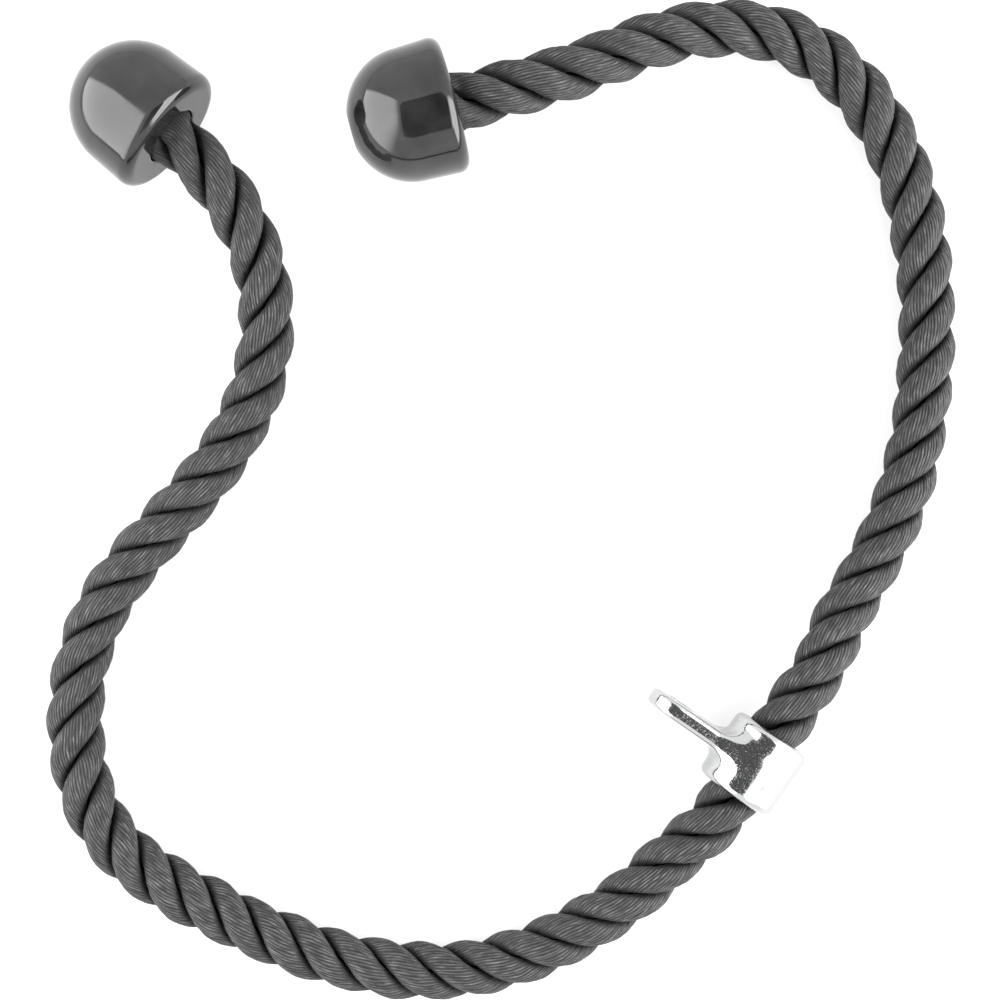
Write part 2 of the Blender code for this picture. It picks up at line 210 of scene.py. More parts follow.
# Lay of the rope: distance from the left mouth, and the gaps between strands that have faced up by there
gapCounts = [
    (0.000, -0.80), (0.030, 0.49), (0.070, 2.34), (0.110, 4.28), (0.150, 6.32), (0.190, 8.34),
    (0.230, 10.28), (0.270, 12.23), (0.310, 14.26), (0.350, 16.28), (0.400, 18.94), (0.450, 21.53),
    (0.500, 24.06), (0.540, 26.15), (0.580, 28.30), (0.620, 30.30), (0.665, 32.63), (0.710, 34.96),
    (0.750, 37.10), (0.790, 39.06), (0.830, 41.17), (0.900, 44.80), (0.960, 47.83), (1.020, 50.83),
    (1.080, 53.66), (1.130, 55.96), (1.177, 58.14),
]

# Route of the rope's middle, as in the part's source
ropeRoute = {
    "straightLeft": (-0.10565, -0.1923, 0.018),
    "straightRight": (-0.03435, -0.1923, 0.018),
    "left": [
        (-0.1277, -0.1880, 0.0152), (-0.1490, -0.1841, 0.0128), (-0.1701, -0.1772, 0.0125),
        (-0.2207, -0.1452, 0.0125), (-0.2509, -0.0972, 0.0125), (-0.2663, -0.0290, 0.0125),
        (-0.2653, 0.0181, 0.0125), (-0.2318, 0.0602, 0.0125), (-0.1814, 0.0785, 0.0125),
        (-0.1211, 0.0738, 0.0125), (-0.0659, 0.0781, 0.0130), (-0.0286, 0.1006, 0.0175),
        (-0.0082, 0.1307, 0.0255),
    ],
    "right": [
        (-0.0120, -0.1894, 0.0152), (0.0120, -0.1872, 0.0128), (0.0432, -0.1827, 0.0125),
        (0.0971, -0.1611, 0.0125), (0.1518, -0.1203, 0.0125), (0.1850, -0.0692, 0.0125),
        (0.1874, -0.0267, 0.0128), (0.1626, 0.0121, 0.0156), (0.1216, 0.0400, 0.0233),
    ],
    "leftMouth": (-0.0006, 0.1644, 0.0287),
    "rightMouth": (0.0792, 0.0738, 0.0287),
    "leftHeading": math.radians(-94.1),  # of the rope as it leaves the cap
    "rightHeading": math.radians(-40.3),
    "bend": 0.065,  # the stretch next to the collar that folds
    "collar": 0.02565,  # from the start of the straight stretch to the collar's middle
    "collarHalf": 0.01565,
    "insideCap": 0.0267,
    "stepsPerSpan": 60,
}


def headingVector(heading):
    return np.array([math.cos(heading), math.sin(heading), 0.0])


def smoothRoute(points, startWay, endWay):
    # cubic spline over the chord lengths with its direction set at both ends
    stops = np.array(points, float)
    chords = np.linalg.norm(np.diff(stops, axis=0), axis=1)
    count = len(stops)
    matrix = np.zeros((count, count))
    sums = np.zeros((count, 3))
    matrix[0, 0] = matrix[-1, -1] = 1
    sums[0], sums[-1] = startWay, endWay
    for i in range(1, count - 1):
        before, after = chords[i - 1], chords[i]
        matrix[i, i - 1 : i + 2] = after, 2 * (before + after), before
        stepIn = (stops[i] - stops[i - 1]) / before
        stepOut = (stops[i + 1] - stops[i]) / after
        sums[i] = 3 * (after * stepIn + before * stepOut)
    slopes = np.linalg.solve(matrix, sums)
    t = np.linspace(0, 1, ropeRoute["stepsPerSpan"], endpoint=False)[:, None]
    curve = [
        (2 * t**3 - 3 * t**2 + 1) * stops[i]
        + (t**3 - 2 * t**2 + t) * chords[i] * slopes[i]
        + (3 * t**2 - 2 * t**3) * stops[i + 1]
        + (t**3 - t**2) * chords[i] * slopes[i + 1]
        for i in range(count - 1)
    ]
    curve = np.vstack([*curve, stops[-1:]])
    curve[:, 2] = np.maximum(curve[:, 2], ropeShape["diameter"] / 2 + ropeShape["lift"])
    return curve


def lengthOf(points):
    return np.linalg.norm(np.diff(points, axis=0), axis=1).sum()


def ropeLine(route):
    # one line from inside the left cap to inside the right cap, with distances from the left mouth
    leftWay = -headingVector(route["leftHeading"])
    rightWay = -headingVector(route["rightHeading"])
    leftMouth, rightMouth = np.array(route["leftMouth"]), np.array(route["rightMouth"])
    left = smoothRoute([route["straightLeft"], *route["left"], leftMouth], (-1, 0, 0), leftWay)
    right = smoothRoute([route["straightRight"], *route["right"], rightMouth], (1, 0, 0), rightWay)
    middle = np.linspace(route["straightLeft"], route["straightRight"], route["stepsPerSpan"])
    inside = np.linspace(1, 0, route["stepsPerSpan"], endpoint=False)[:, None] * route["insideCap"]
    points = np.vstack([
        leftMouth + inside * leftWay,
        left[::-1],
        middle[1:-1],
        right,
        (rightMouth + inside * rightWay)[::-1],
    ])
    along = np.concatenate([[0], np.cumsum(np.linalg.norm(np.diff(points, axis=0), axis=1))])
    along -= route["insideCap"]
    leftLength, rightLength = lengthOf(left), lengthOf(right)
    middleLength = lengthOf(middle)
    stops = {
        "start": -route["insideCap"],
        "leftFold": leftLength - route["bend"],
        "leftStraight": leftLength,
        "rightStraight": leftLength + middleLength,
        "rightFold": leftLength + middleLength + route["bend"],
        "end": leftLength + middleLength + rightLength + route["insideCap"],
    }
    return points, along, stops


linePoints, lineAlong, lineStops = ropeLine(ropeRoute)


def pointAt(distances):
    return np.stack([np.interp(distances, lineAlong, linePoints[:, axis]) for axis in range(3)], -1)


def frameAt(distances):
    # the rope's direction, the side to its right and the side nearest to up
    near = 0.002
    way = pointAt(distances + near) - pointAt(distances - near)
    way /= np.linalg.norm(way, axis=1)[:, None]
    side = np.cross(way, (0, 0, 1))
    side /= np.linalg.norm(side, axis=1)[:, None]
    return way, side, np.cross(side, way)


def smoothed(values, width):
    # running mean over a bell-shaped window that many values wide
    bell = np.hanning(width + 2)[1:-1]
    padded = np.pad(values, width // 2, mode="reflect", reflect_type="odd")
    return np.convolve(padded, bell / bell.sum(), mode="valid")


def phaseTable(shape):
    # turn of the strands and drift of the yarns along the rope
    step, beyond, window = 0.0001, 0.01, 401
    stops, counts = np.array(gapCounts).T
    table = np.arange(lineStops["start"] - beyond, lineStops["end"] + beyond, step)
    firstRate = (counts[1] - counts[0]) / (stops[1] - stops[0])
    lastRate = (counts[-1] - counts[-2]) / (stops[-1] - stops[-2])
    before = np.minimum(table - stops[0], 0) * firstRate
    after = np.maximum(table - stops[-1], 0) * lastRate
    turn = 2 * np.pi / 3 * smoothed(np.interp(table, stops, counts) + before + after, window)
    turnRate = np.gradient(turn, step)
    radius = shape["diameter"] / 2
    driftRate = -(radius * turnRate - math.tan(shape["yarnSlant"])) / (2 * math.pi * shape["yarnRadius"])
    drift = np.concatenate([[0], np.cumsum((driftRate[1:] + driftRate[:-1]) / 2 * step)])
    return table, turn, drift


phaseAlong, phaseTurn, phaseDrift = phaseTable(ropeShape)


def slowWaves(random, distances, count, lengthRange, waves=4):
    # sums of a few sine waves along the rope, one row of them for each of count yarns
    longest, shortest = lengthRange
    lengths = np.exp(random.uniform(np.log(shortest), np.log(longest), (waves, count)))
    starts = random.uniform(0, 2 * np.pi, (waves, count))
    angles = 2 * np.pi * distances[:, None, None] / lengths + starts
    return np.sin(angles).sum(1) / math.sqrt(waves)


def strandOutline(shape, gap, round, centre):
    # one strand cut across, seen from its own middle: in each direction the nearest of the crown's
    # circle, the two flat walls beside the gaps and the flat side next to the rope's core, with the
    # corners between them rounded; u is the share of the way round, from the core and back
    out, far, least = shape["strandOut"], 1.0, 0.01
    lean = math.pi / 3 - max(gap - shape["innerGap"], 0) / shape["diameter"]
    ways = 1441
    turned = np.linspace(-np.pi, np.pi, ways)
    shift = out - centre
    crown = -shift * np.cos(turned) + np.sqrt(round**2 - (shift * np.sin(turned)) ** 2)
    facing = np.sin(np.abs(turned) - lean)
    beside = out * math.sin(lean) - min(gap, shape["innerGap"]) / 2
    wall = np.where(facing > least, beside / np.maximum(facing, least), far)
    inward = -np.cos(turned)
    core = np.where(inward > least, shape["core"] / np.maximum(inward, least), far)
    power = -float(shape["corner"])
    reach = (crown**power + wall**power + core**power) ** (1 / power)
    x, y = reach * np.cos(turned), reach * np.sin(turned)
    along = np.concatenate([[0], np.cumsum(np.hypot(np.diff(x), np.diff(y)))])
    return along / along[-1], x, y


def outlineAt(table, u):
    return np.stack([np.interp(u % 1, table[0], values) for values in table[1:]], -1)


def fillingAt(shape, distances):
    # distance outside the nearer mouth, and how far the rope fills the round of the mouth there, 0 to 1
    toMouth = np.minimum(distances, lineStops["end"] - ropeRoute["insideCap"] - distances)
    inside = np.clip((shape["plugStart"] - toMouth) / shape["plugReach"], 0, 1)
    return toMouth, inside**2 * (3 - 2 * inside)


def slackAt(shape, distances):
    # how loosely the strands lie: 1 beside the caps and more next to the collar, falling off from there
    toMouth = fillingAt(shape, distances)[0]
    besideCaps = np.exp(-np.maximum(toMouth, 0) / shape["slackReach"])
    fromMiddle = np.abs(distances - lineStops["leftStraight"] - ropeRoute["collar"])
    toCollar = np.maximum(fromMiddle - ropeRoute["collarHalf"], 0)
    return besideCaps + shape["collarSlack"] * np.exp(-((toCollar / shape["collarReach"]) ** 2))


def strandSection(shape, distances, u):
    # points round a strand at each distance: tight along the rope, slack next to the fittings, and
    # filling the whole round of the mouth inside the caps
    crownCentre = shape["diameter"] / 2 - shape["crown"]
    inside = fillingAt(shape, distances)[1][:, None, None]
    slack = slackAt(shape, distances)[:, None, None]
    tight = outlineAt(strandOutline(shape, shape["gap"], shape["crown"], crownCentre), u)
    loose = outlineAt(strandOutline(shape, shape["mouthGap"], shape["crown"], crownCentre), u)
    filled = outlineAt(strandOutline(shape, shape["plugGap"], shape["plugRadius"], 0.0), u)
    return (1 - inside) * ((1 - slack) * tight + slack * loose) + inside * filled


def strandPoints(shape, strand, distances):
    # middle of the strand on a circle round the rope's line, its outline round that middle, and each
    # yarn a shallow round ridge on the outline; columns follow the yarns along the strand
    random = np.random.default_rng(shape["seed"] + strand)
    yarns, sides = shape["yarns"], shape["sidesPerYarn"]
    columns = np.arange(yarns * sides)
    across = 2 * (columns % sides) / sides
    across = 1 - np.abs(np.where(across > 1, across - 2, across))  # 1 in the groove and 0 on the crest
    rise = slowWaves(random, distances, yarns, shape["riseWaves"])
    tone = slowWaves(random, distances, yarns, shape["toneWaves"])
    sway = slowWaves(random, distances, yarns, shape["swayWaves"])
    swell = slowWaves(random, distances, 1, shape["swellWaves"])
    yarn = columns // sides
    before = np.where(columns % sides == 0, yarn - 1, yarn)
    riseHere = np.minimum(rise[:, yarn], rise[:, before])
    toneHere = (tone[:, yarn] + tone[:, before]) / 2
    swayHere = (sway[:, yarn] + sway[:, before]) / 2
    offset = -shape["yarnGroove"] * across ** shape["groovePower"] + shape["yarnUneven"] * (riseHere - 1)
    offset = offset + shape["strandUneven"] * (swell - 1)

    turn = np.interp(distances, phaseAlong, phaseTurn)
    drift = np.interp(distances, phaseAlong, phaseDrift)
    way, side, up = frameAt(distances)
    angle = turn + math.pi / 3 + strand * 2 * math.pi / 3
    outward = up * np.cos(angle)[:, None] + side * np.sin(angle)[:, None]
    sideways = side * np.cos(angle)[:, None] - up * np.sin(angle)[:, None]
    u = (columns / sides + shape["yarnSway"] * swayHere) / yarns + drift[:, None]
    section = strandSection(shape, distances, u)
    small = 0.004
    slope = strandSection(shape, distances, u + small) - strandSection(shape, distances, u - small)
    slope /= np.linalg.norm(slope, axis=2)[..., None]
    out = shape["strandOut"] + section[..., 0] + offset * slope[..., 1]
    over = section[..., 1] - offset * slope[..., 0]
    middle = pointAt(distances)
    points = middle[:, None] + out[..., None] * outward[:, None] + over[..., None] * sideways[:, None]
    # painted shade: the yarns darken towards the gaps between strands, further where they lie slack, and
    # all over inside the mouths, standing in for the shadow there
    inside = fillingAt(shape, distances)[1][:, None]
    reach = shape["shadeReach"] + shape["slackShade"] * slackAt(shape, distances)[:, None]
    reach = reach * (1 + shape["shadeUneven"] * riseHere)
    fromGap = out * math.sin(math.pi / 3) - np.abs(over) * math.cos(math.pi / 3)
    shade = np.clip((reach - fromGap) / (reach - shape["shadeStart"]), shape["mouthShade"] * inside, 1)
    return {
        "points": points,
        "groove": np.broadcast_to(across, points.shape[:2]),
        "tone": toneHere,
        "shade": shade,
        "middle": middle + shape["strandOut"] * outward,
    }


def gridFaces(rows, columns):
    # quads of a grid that closes on itself round the columns
    i, j = np.meshgrid(np.arange(rows - 1), np.arange(columns), indexing="ij")
    k = (j + 1) % columns
    here, beyond = i * columns, (i + 1) * columns
    return np.stack([here + j, here + k, beyond + k, beyond + j], -1).reshape(-1, 4)


ropeLook = {
    "filaments": (3.2, 300.0, 1.0),  # noise across the yarns and, drawn out, along them
    # the lightest of these tones, on the light streaks, are partly painted glints along the filaments
    "tones": [
        (0.0, (0.0075, 0.0075, 0.0077)), (0.3, (0.017, 0.017, 0.0173)),
        (0.55, (0.046, 0.046, 0.0465)), (0.8, (0.115, 0.115, 0.116)),
    ],
    "yarnTone": 0.22,  # how far a whole yarn moves up or down those tones
    # painted shade in the grooves between yarns, moving down the tones
    "paintedGrooveShade": -0.6,
    # painted shade towards the gaps between strands and inside the mouths, moving down the tones
    "paintedGapShade": -0.55,
    "roughness": (0.62, 0.45),
    "specular": 0.26,
    "sheen": 0.05,
    "sheenRoughness": 0.45,
    "bump": 0.0005,
    "bumpStrength": 0.9,
}


def ropeMaterial(look):
    # black nylon: light and dark filaments along each yarn, the light ones partly painted glints;
    # painted shade in the grooves between yarns, towards the gaps between strands and inside the mouths;
    # a soft sheen
    material, tree, shader = startMaterial("black nylon yarn", (0.045, 0.045, 0.047), 0.5)
    yarnMap = addNode(tree, "ShaderNodeUVMap", uv_map="yarns")
    filaments = addNode(tree, "ShaderNodeMapping")
    filaments.inputs["Scale"].default_value = look["filaments"]
    joinNodes(tree, yarnMap, "UV", filaments, "Vector")
    streaks = addNode(tree, "ShaderNodeTexNoise", {"Scale": 1.0, "Detail": 4.0, "Roughness": 0.65})
    joinNodes(tree, filaments, "Vector", streaks, "Vector")
    tone = addNode(tree, "ShaderNodeAttribute", attribute_name="yarnTone")
    groove = addNode(tree, "ShaderNodeAttribute", attribute_name="yarnGroove")
    shade = addNode(tree, "ShaderNodeAttribute", attribute_name="gapShade")
    lighter = addRange(tree, tone, "Fac", -2.0, 2.0, -look["yarnTone"], look["yarnTone"])
    # painted shade in the grooves between yarns
    grooveShadeShift = addRange(tree, groove, "Fac", 0.3, 1.0, 0.0, look["paintedGrooveShade"])
    # painted shade towards the gaps between strands and inside the mouths
    gapShadeShift = addRange(tree, shade, "Fac", 0.0, 1.0, 0.0, look["paintedGapShade"])
    whole, output = streaks, "Fac"
    for part in (lighter, grooveShadeShift, gapShadeShift):
        added = addNode(tree, "ShaderNodeMath", operation="ADD")
        joinNodes(tree, whole, output, added, 0)
        joinNodes(tree, part, "Result", added, 1)
        whole, output = added, "Value"
    colours = addColours(tree, whole, output, look["tones"])
    joinNodes(tree, colours, "Color", shader, "Base Color")
    sheen = addRange(tree, streaks, "Fac", 0.3, 0.7, *look["roughness"])
    joinNodes(tree, sheen, "Result", shader, "Roughness")
    shader.inputs["Specular IOR Level"].default_value = look["specular"]
    shader.inputs["Sheen Weight"].default_value = look["sheen"]
    shader.inputs["Sheen Roughness"].default_value = look["sheenRoughness"]
    addBump(tree, streaks, "Fac", shader, look["bump"], look["bumpStrength"])
    return material


ropeFinish = ropeMaterial(ropeLook)


def makeStrand(name, shape, strand, start, end, material):
    rows = max(2, round((end - start) / shape["rowStep"])) + 1
    step = (end - start) / (rows - 1)
    distances = np.linspace(start, end, rows)
    # one row more at each end, only for the normals: they then run on into the next stretch
    longer = strandPoints(shape, strand, np.linspace(start - step, end + step, rows + 2))
    points, middles = longer["points"][1:-1], longer["middle"][1:-1]
    around = np.roll(points, -1, axis=1) - np.roll(points, 1, axis=1)
    normals = np.cross(around, longer["points"][2:] - longer["points"][:-2])
    normals /= np.linalg.norm(normals, axis=2)[..., None]
    columns = points.shape[1]
    quads = gridFaces(rows, columns)
    j = np.arange(columns)
    k = (j + 1) % columns
    first, last = rows * columns, rows * columns + 1
    top = (rows - 1) * columns
    ends = np.concatenate([
        np.stack([np.full(columns, first), k, j], 1),
        np.stack([np.full(columns, last), top + j, top + k], 1),
    ])
    everything = np.vstack([points.reshape(-1, 3), middles[:1], middles[-1:]])
    endWays = [middles[0] - middles[1], middles[-1] - middles[-2]] / np.array(step)
    allNormals = np.vstack([normals.reshape(-1, 3), endWays])
    piece = putMesh(name, everything, quads, ends, material, allNormals, roundEnds=False)
    mesh = piece.data
    for attribute, key in (("yarnGroove", "groove"), ("yarnTone", "tone"), ("gapShade", "shade")):
        addNumber(mesh, attribute, np.append(longer[key][1:-1].ravel(), [0, 0]))
    across = np.stack([j, j + 1, j + 1, j], 1) / shape["sidesPerYarn"]
    across = np.broadcast_to(across, (rows - 1, columns, 4))
    along = np.stack([distances[:-1], distances[:-1], distances[1:], distances[1:]], 1)
    along = np.broadcast_to(along[:, None], (rows - 1, columns, 4))
    places = np.stack([across, along], -1).reshape(-1, 2)
    places = np.vstack([places, np.zeros((len(ends) * 3, 2))])
    layer = mesh.uv_layers.new(name="yarns")
    layer.data.foreach_set("uv", places.astype(np.float32).ravel())
    return piece


def makeStretch(name, node, fromStop, toStop, place):
    start, end = lineStops[fromStop], lineStops[toStop]
    strands = [
        makeStrand(f"{name}_strand_{strand + 1}", ropeShape, strand, start, end, ropeFinish)
        for strand in range(3)
    ]
    for strand in strands:
        place(strand)
    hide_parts(node)
    return strands


def blendBetween():
    return lambda piece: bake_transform(piece)


def rideOn(body):
    return lambda piece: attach(piece, body)


leftBlend = blendBetween()
rightBlend = blendBetween()
leftRun = makeStretch("left_run", "rope_left_run", "start", "leftFold", rideOn("left_half"))
leftBend = makeStretch("left_bend", "rope_left_bend", "leftFold", "leftStraight", leftBlend)
middle = makeStretch("middle", "rope_middle", "leftStraight", "rightStraight", rideOn("rope"))
rightBend = makeStretch("right_bend", "rope_right_bend", "rightStraight", "rightFold", rightBlend)
rightRun = makeStretch("right_run", "rope_right_run", "rightFold", "end", rideOn("right_half"))
print("rope laid:", round(lineAlong[-1] - lineAlong[0], 4), "metres")


# Turned pieces: a profile of (radius, height) points carried round an axis
def turnedPiece(name, profile, seat, axis, sides, material, closed=True):
    # point = seat + axis * height + radius * (a cos u + b sin u), with a and b square to the axis; the
    # profile either closes on itself or starts and ends on the axis
    radii, heights = np.array(profile, float).T
    axis = np.array(axis, float)
    sharp = 35  # degrees between two faces from which their edge shows
    first = np.cross(axis, (0, 0, 1))
    first /= np.linalg.norm(first)
    second = np.cross(axis, first)
    if not closed:
        ends = np.array(seat) + heights[[0, -1], None] * axis
        radii, heights = radii[1:-1], heights[1:-1]
    turn = 2 * np.pi * np.arange(sides) / sides
    circle = np.cos(turn)[:, None] * first + np.sin(turn)[:, None] * second
    points = np.array(seat) + heights[:, None, None] * axis + radii[:, None, None] * circle
    points = points.reshape(-1, 3)
    rows = len(radii)
    quads = gridFaces(rows, sides)
    triangles = None
    j = np.arange(sides)
    k = (j + 1) % sides
    top = (rows - 1) * sides
    if closed:
        quads = np.vstack([quads, np.stack([top + j, top + k, k, j], 1)])
    else:
        lowest, highest = rows * sides, rows * sides + 1
        points = np.vstack([points, ends])
        triangles = np.vstack([
            np.stack([np.full(sides, lowest), k, j], 1),
            np.stack([np.full(sides, highest), top + j, top + k], 1),
        ])
    piece = putMesh(name, points, quads, triangles, material)
    piece.data.set_sharp_from_angle(angle=math.radians(sharp))
    return piece


def arcPoints(centre, radii, start, end, steps):
    # angles in degrees from the way out; the radii are the arc's outward one and the one along the axis
    angles = np.radians(np.linspace(start, end, steps + 1))
    return [(centre[0] + radii[0] * math.cos(a), centre[1] + radii[1] * math.sin(a)) for a in angles]


def linePointsBetween(start, end, steps):
    return [tuple(p) for p in np.linspace(start, end, steps + 1)]


# End caps: gloss black mouldings with a domed end
capShape = {
    "rim": 0.0287,
    "shoulder": 0.0281,
    "length": 0.0454,
    "domeDepth": 0.0258,
    "domeAxis": 0.027,
    "rimFillet": 0.005,
    "mouth": 0.0142,
    "lip": 0.0132,  # round the rope
    "lipDepth": 0.003,
    "mouthEdge": 0.0008,
    "socketDepth": 0.0303,
    "screwHole": 0.0033,
    "counterbore": 0.0065,
    "counterboreFloor": 0.0348,
    "tipEdge": 0.0006,
    "sides": 128,
    "mouthSteps": 6,
    "faceSteps": 8,
    "filletSteps": 20,
    "wallSteps": 16,
    "domeSteps": 48,
    "endSteps": 3,
    "tipSteps": 5,
}

capLook = {
    "smudgeScale": 45.0,
    "roughness": (0.05, 0.16),
    "cloudScale": 75.0,
    "colours": [(0.3, (0.0045, 0.0045, 0.0047)), (0.7, (0.0150, 0.0150, 0.0153))],
    "waveScale": 110.0,
    "bump": 0.00008,
    "bumpStrength": 0.5,
}


def capMaterial(look):
    # gloss black moulding: faint waviness, a few dull smudges, a slight clouding
    material, tree, shader = startMaterial("gloss black moulding", (0.009, 0.009, 0.0092), 0.07)
    smudges = addSpeckle(tree, look["smudgeScale"], 4.0, 0.6)
    dull = addRange(tree, smudges, "Fac", 0.4, 0.7, *look["roughness"])
    joinNodes(tree, dull, "Result", shader, "Roughness")
    cloud = addSpeckle(tree, look["cloudScale"], 4.0, 0.6)
    colours = addColours(tree, cloud, "Fac", look["colours"])
    joinNodes(tree, colours, "Color", shader, "Base Color")
    waves = addSpeckle(tree, look["waveScale"], 2.0, 0.5)
    addBump(tree, waves, "Fac", shader, look["bump"], look["bumpStrength"])
    return material


capFinish = capMaterial(capLook)


def capProfile(shape):
    rim, shoulder, length = shape["rim"], shape["shoulder"], shape["length"]
    domeBase = length - shape["domeDepth"]
    domeEnd = math.degrees(math.asin(shape["domeDepth"] / shape["domeAxis"]))
    domeTip = shoulder * math.cos(math.radians(domeEnd))
    fillet, edge, tip = shape["rimFillet"], shape["mouthEdge"], shape["tipEdge"]
    mouth, lip, lipDepth = shape["mouth"], shape["lip"], shape["lipDepth"]
    counterbore = shape["counterbore"]
    return [
        (mouth, lipDepth + mouth - lip),
        (lip, lipDepth),
        *arcPoints((lip + edge, edge), (edge, edge), 180, 270, shape["mouthSteps"]),
        *linePointsBetween((lip + edge, 0), (rim - fillet, 0), shape["faceSteps"])[1:-1],
        *arcPoints((rim - fillet, fillet), (fillet, fillet), -90, 0, shape["filletSteps"]),
        *linePointsBetween((rim, fillet), (shoulder, domeBase), shape["wallSteps"])[1:-1],
        *arcPoints((0, domeBase), (shoulder, shape["domeAxis"]), 0, domeEnd, shape["domeSteps"]),
        *linePointsBetween((domeTip, length), (counterbore + tip, length), shape["endSteps"])[1:-1],
        *arcPoints((counterbore + tip, length - tip), (tip, tip), 90, 180, shape["tipSteps"]),
        (counterbore, shape["counterboreFloor"]),
        (shape["screwHole"], shape["counterboreFloor"]),
        (shape["screwHole"], shape["socketDepth"]),
        (mouth, shape["socketDepth"]),
    ]


plugShape = {
    "radius": 0.0062,
    "thickness": 0.0032,
    "edge": 0.0005,
    "dish": 0.0002,
    "edgeSteps": 5,
    "dishSteps": 7,
    "sides": 64,
}


def plugProfile(shape, length):
    # the outer face is dished a little: its depth falls with the square of the radius
    radius, edge = shape["radius"], shape["edge"]
    low, flat = length - shape["thickness"], radius - edge
    places = np.linspace(flat, 0, shape["dishSteps"])[1:]
    return [
        (0, low), (radius, low),
        *arcPoints((flat, length - edge), (edge, edge), 0, 90, shape["edgeSteps"]),
        *[(r, length - shape["dish"] * (1 - (r / flat) ** 2)) for r in places],
    ]


def makeEnd(side, mouth, heading):
    into = -headingVector(heading)
    outlines = {
        "cap": ("moulding", capProfile(capShape), capShape["sides"], True),
        "plug": ("disc", plugProfile(plugShape, capShape["length"]), plugShape["sides"], False),
    }
    for part, (form, profile, sides, closed) in outlines.items():
        piece = turnedPiece(f"{side}_{part}_{form}", profile, mouth, into, sides, capFinish, closed)
        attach(piece, f"{side}_half")
        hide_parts(f"{side}_{part}")


makeEnd("left", ropeRoute["leftMouth"], ropeRoute["leftHeading"])
makeEnd("right", ropeRoute["rightMouth"], ropeRoute["rightHeading"])
print("caps made")


# Collar: one polished casting, a barrel with a lug. Its eye and root fillets can't lie on one grid, so
# its skin is taken from a distance formula instead
collarShape = {
    "middle": (-0.080, -0.1923, 0.018),
    "barrel": 0.018,
    "halfLength": 0.01565,
    "bore": 0.0140,
    "barrelEdge": 0.0030,
    "boreEdge": 0.0008,
    "groove": 0.0008,
    "halfGroove": 0.0023,
    "lugReach": 0.054,
    "lugHalfWidth": 0.013,
    "lugHalfThick": 0.0037,
    "lugEdge": 0.0021,
    "faceFillet": 0.0045,  # between lug and barrel, on the right face
    "leftFillet": 0.0066,  # and on the left one
    "sideChange": 0.002,  # width over which one gives way to the other
    "edgeFillet": 0.0075,  # beside the lug's edges, reached over that far from its middle
    "edgeStart": 0.006,
    "edgeChange": 0.006,
    "eye": 0.0065,
    "eyeEdge": 0.0014,
    "cell": 0.0005,
}


def roundUnion(a, b, radius):
    # the nearer of two distances, with a fillet of that radius where the shapes meet
    reach = np.hypot(np.maximum(radius - a, 0), np.maximum(radius - b, 0))
    return np.maximum(radius, np.minimum(a, b)) - reach


def roundOverlap(a, b, radius):
    # the space inside both, with its edge rounded to that radius
    reach = np.hypot(np.maximum(radius + a, 0), np.maximum(radius + b, 0))
    return np.minimum(-radius, np.maximum(a, b)) + reach


def collarDistance(x, y, z):
    shape = collarShape
    out = np.hypot(y, z)
    length = np.abs(x)
    barrel = roundOverlap(length - shape["halfLength"], out - shape["barrel"], shape["barrelEdge"])
    endMiddle = shape["lugReach"] - shape["lugHalfWidth"]
    beyond = np.maximum(y - endMiddle, 0)
    outline = np.hypot(beyond, z) - shape["lugHalfWidth"]
    lug = roundOverlap(length - shape["lugHalfThick"], np.maximum(outline, -y), shape["lugEdge"])
    share = np.clip((np.abs(z) - shape["edgeStart"]) / shape["edgeChange"], 0, 1)
    leftShare = np.clip(0.5 - x / shape["sideChange"], 0, 1)
    faceFillet = shape["faceFillet"] + (shape["leftFillet"] - shape["faceFillet"]) * leftShare
    fillet = faceFillet + (shape["edgeFillet"] - faceFillet) * share**2 * (3 - 2 * share)
    body = roundUnion(barrel, lug, fillet)
    bore = shape["bore"] - out
    groove = np.maximum(out - shape["bore"] - shape["groove"], length - shape["halfGroove"])
    body = roundOverlap(body, bore, shape["boreEdge"])
    body = np.maximum(body, -groove)
    eye = shape["eye"] - np.hypot(y - endMiddle, z)
    return roundOverlap(body, eye, shape["eyeEdge"])


def slopeOf(distance, points):
    # direction in which the distance grows, by small steps both ways
    small = 0.00001
    steps = np.eye(3) * small
    return np.stack([
        (distance(*(points + step).T) - distance(*(points - step).T)) / (2 * small) for step in steps
    ], 1)


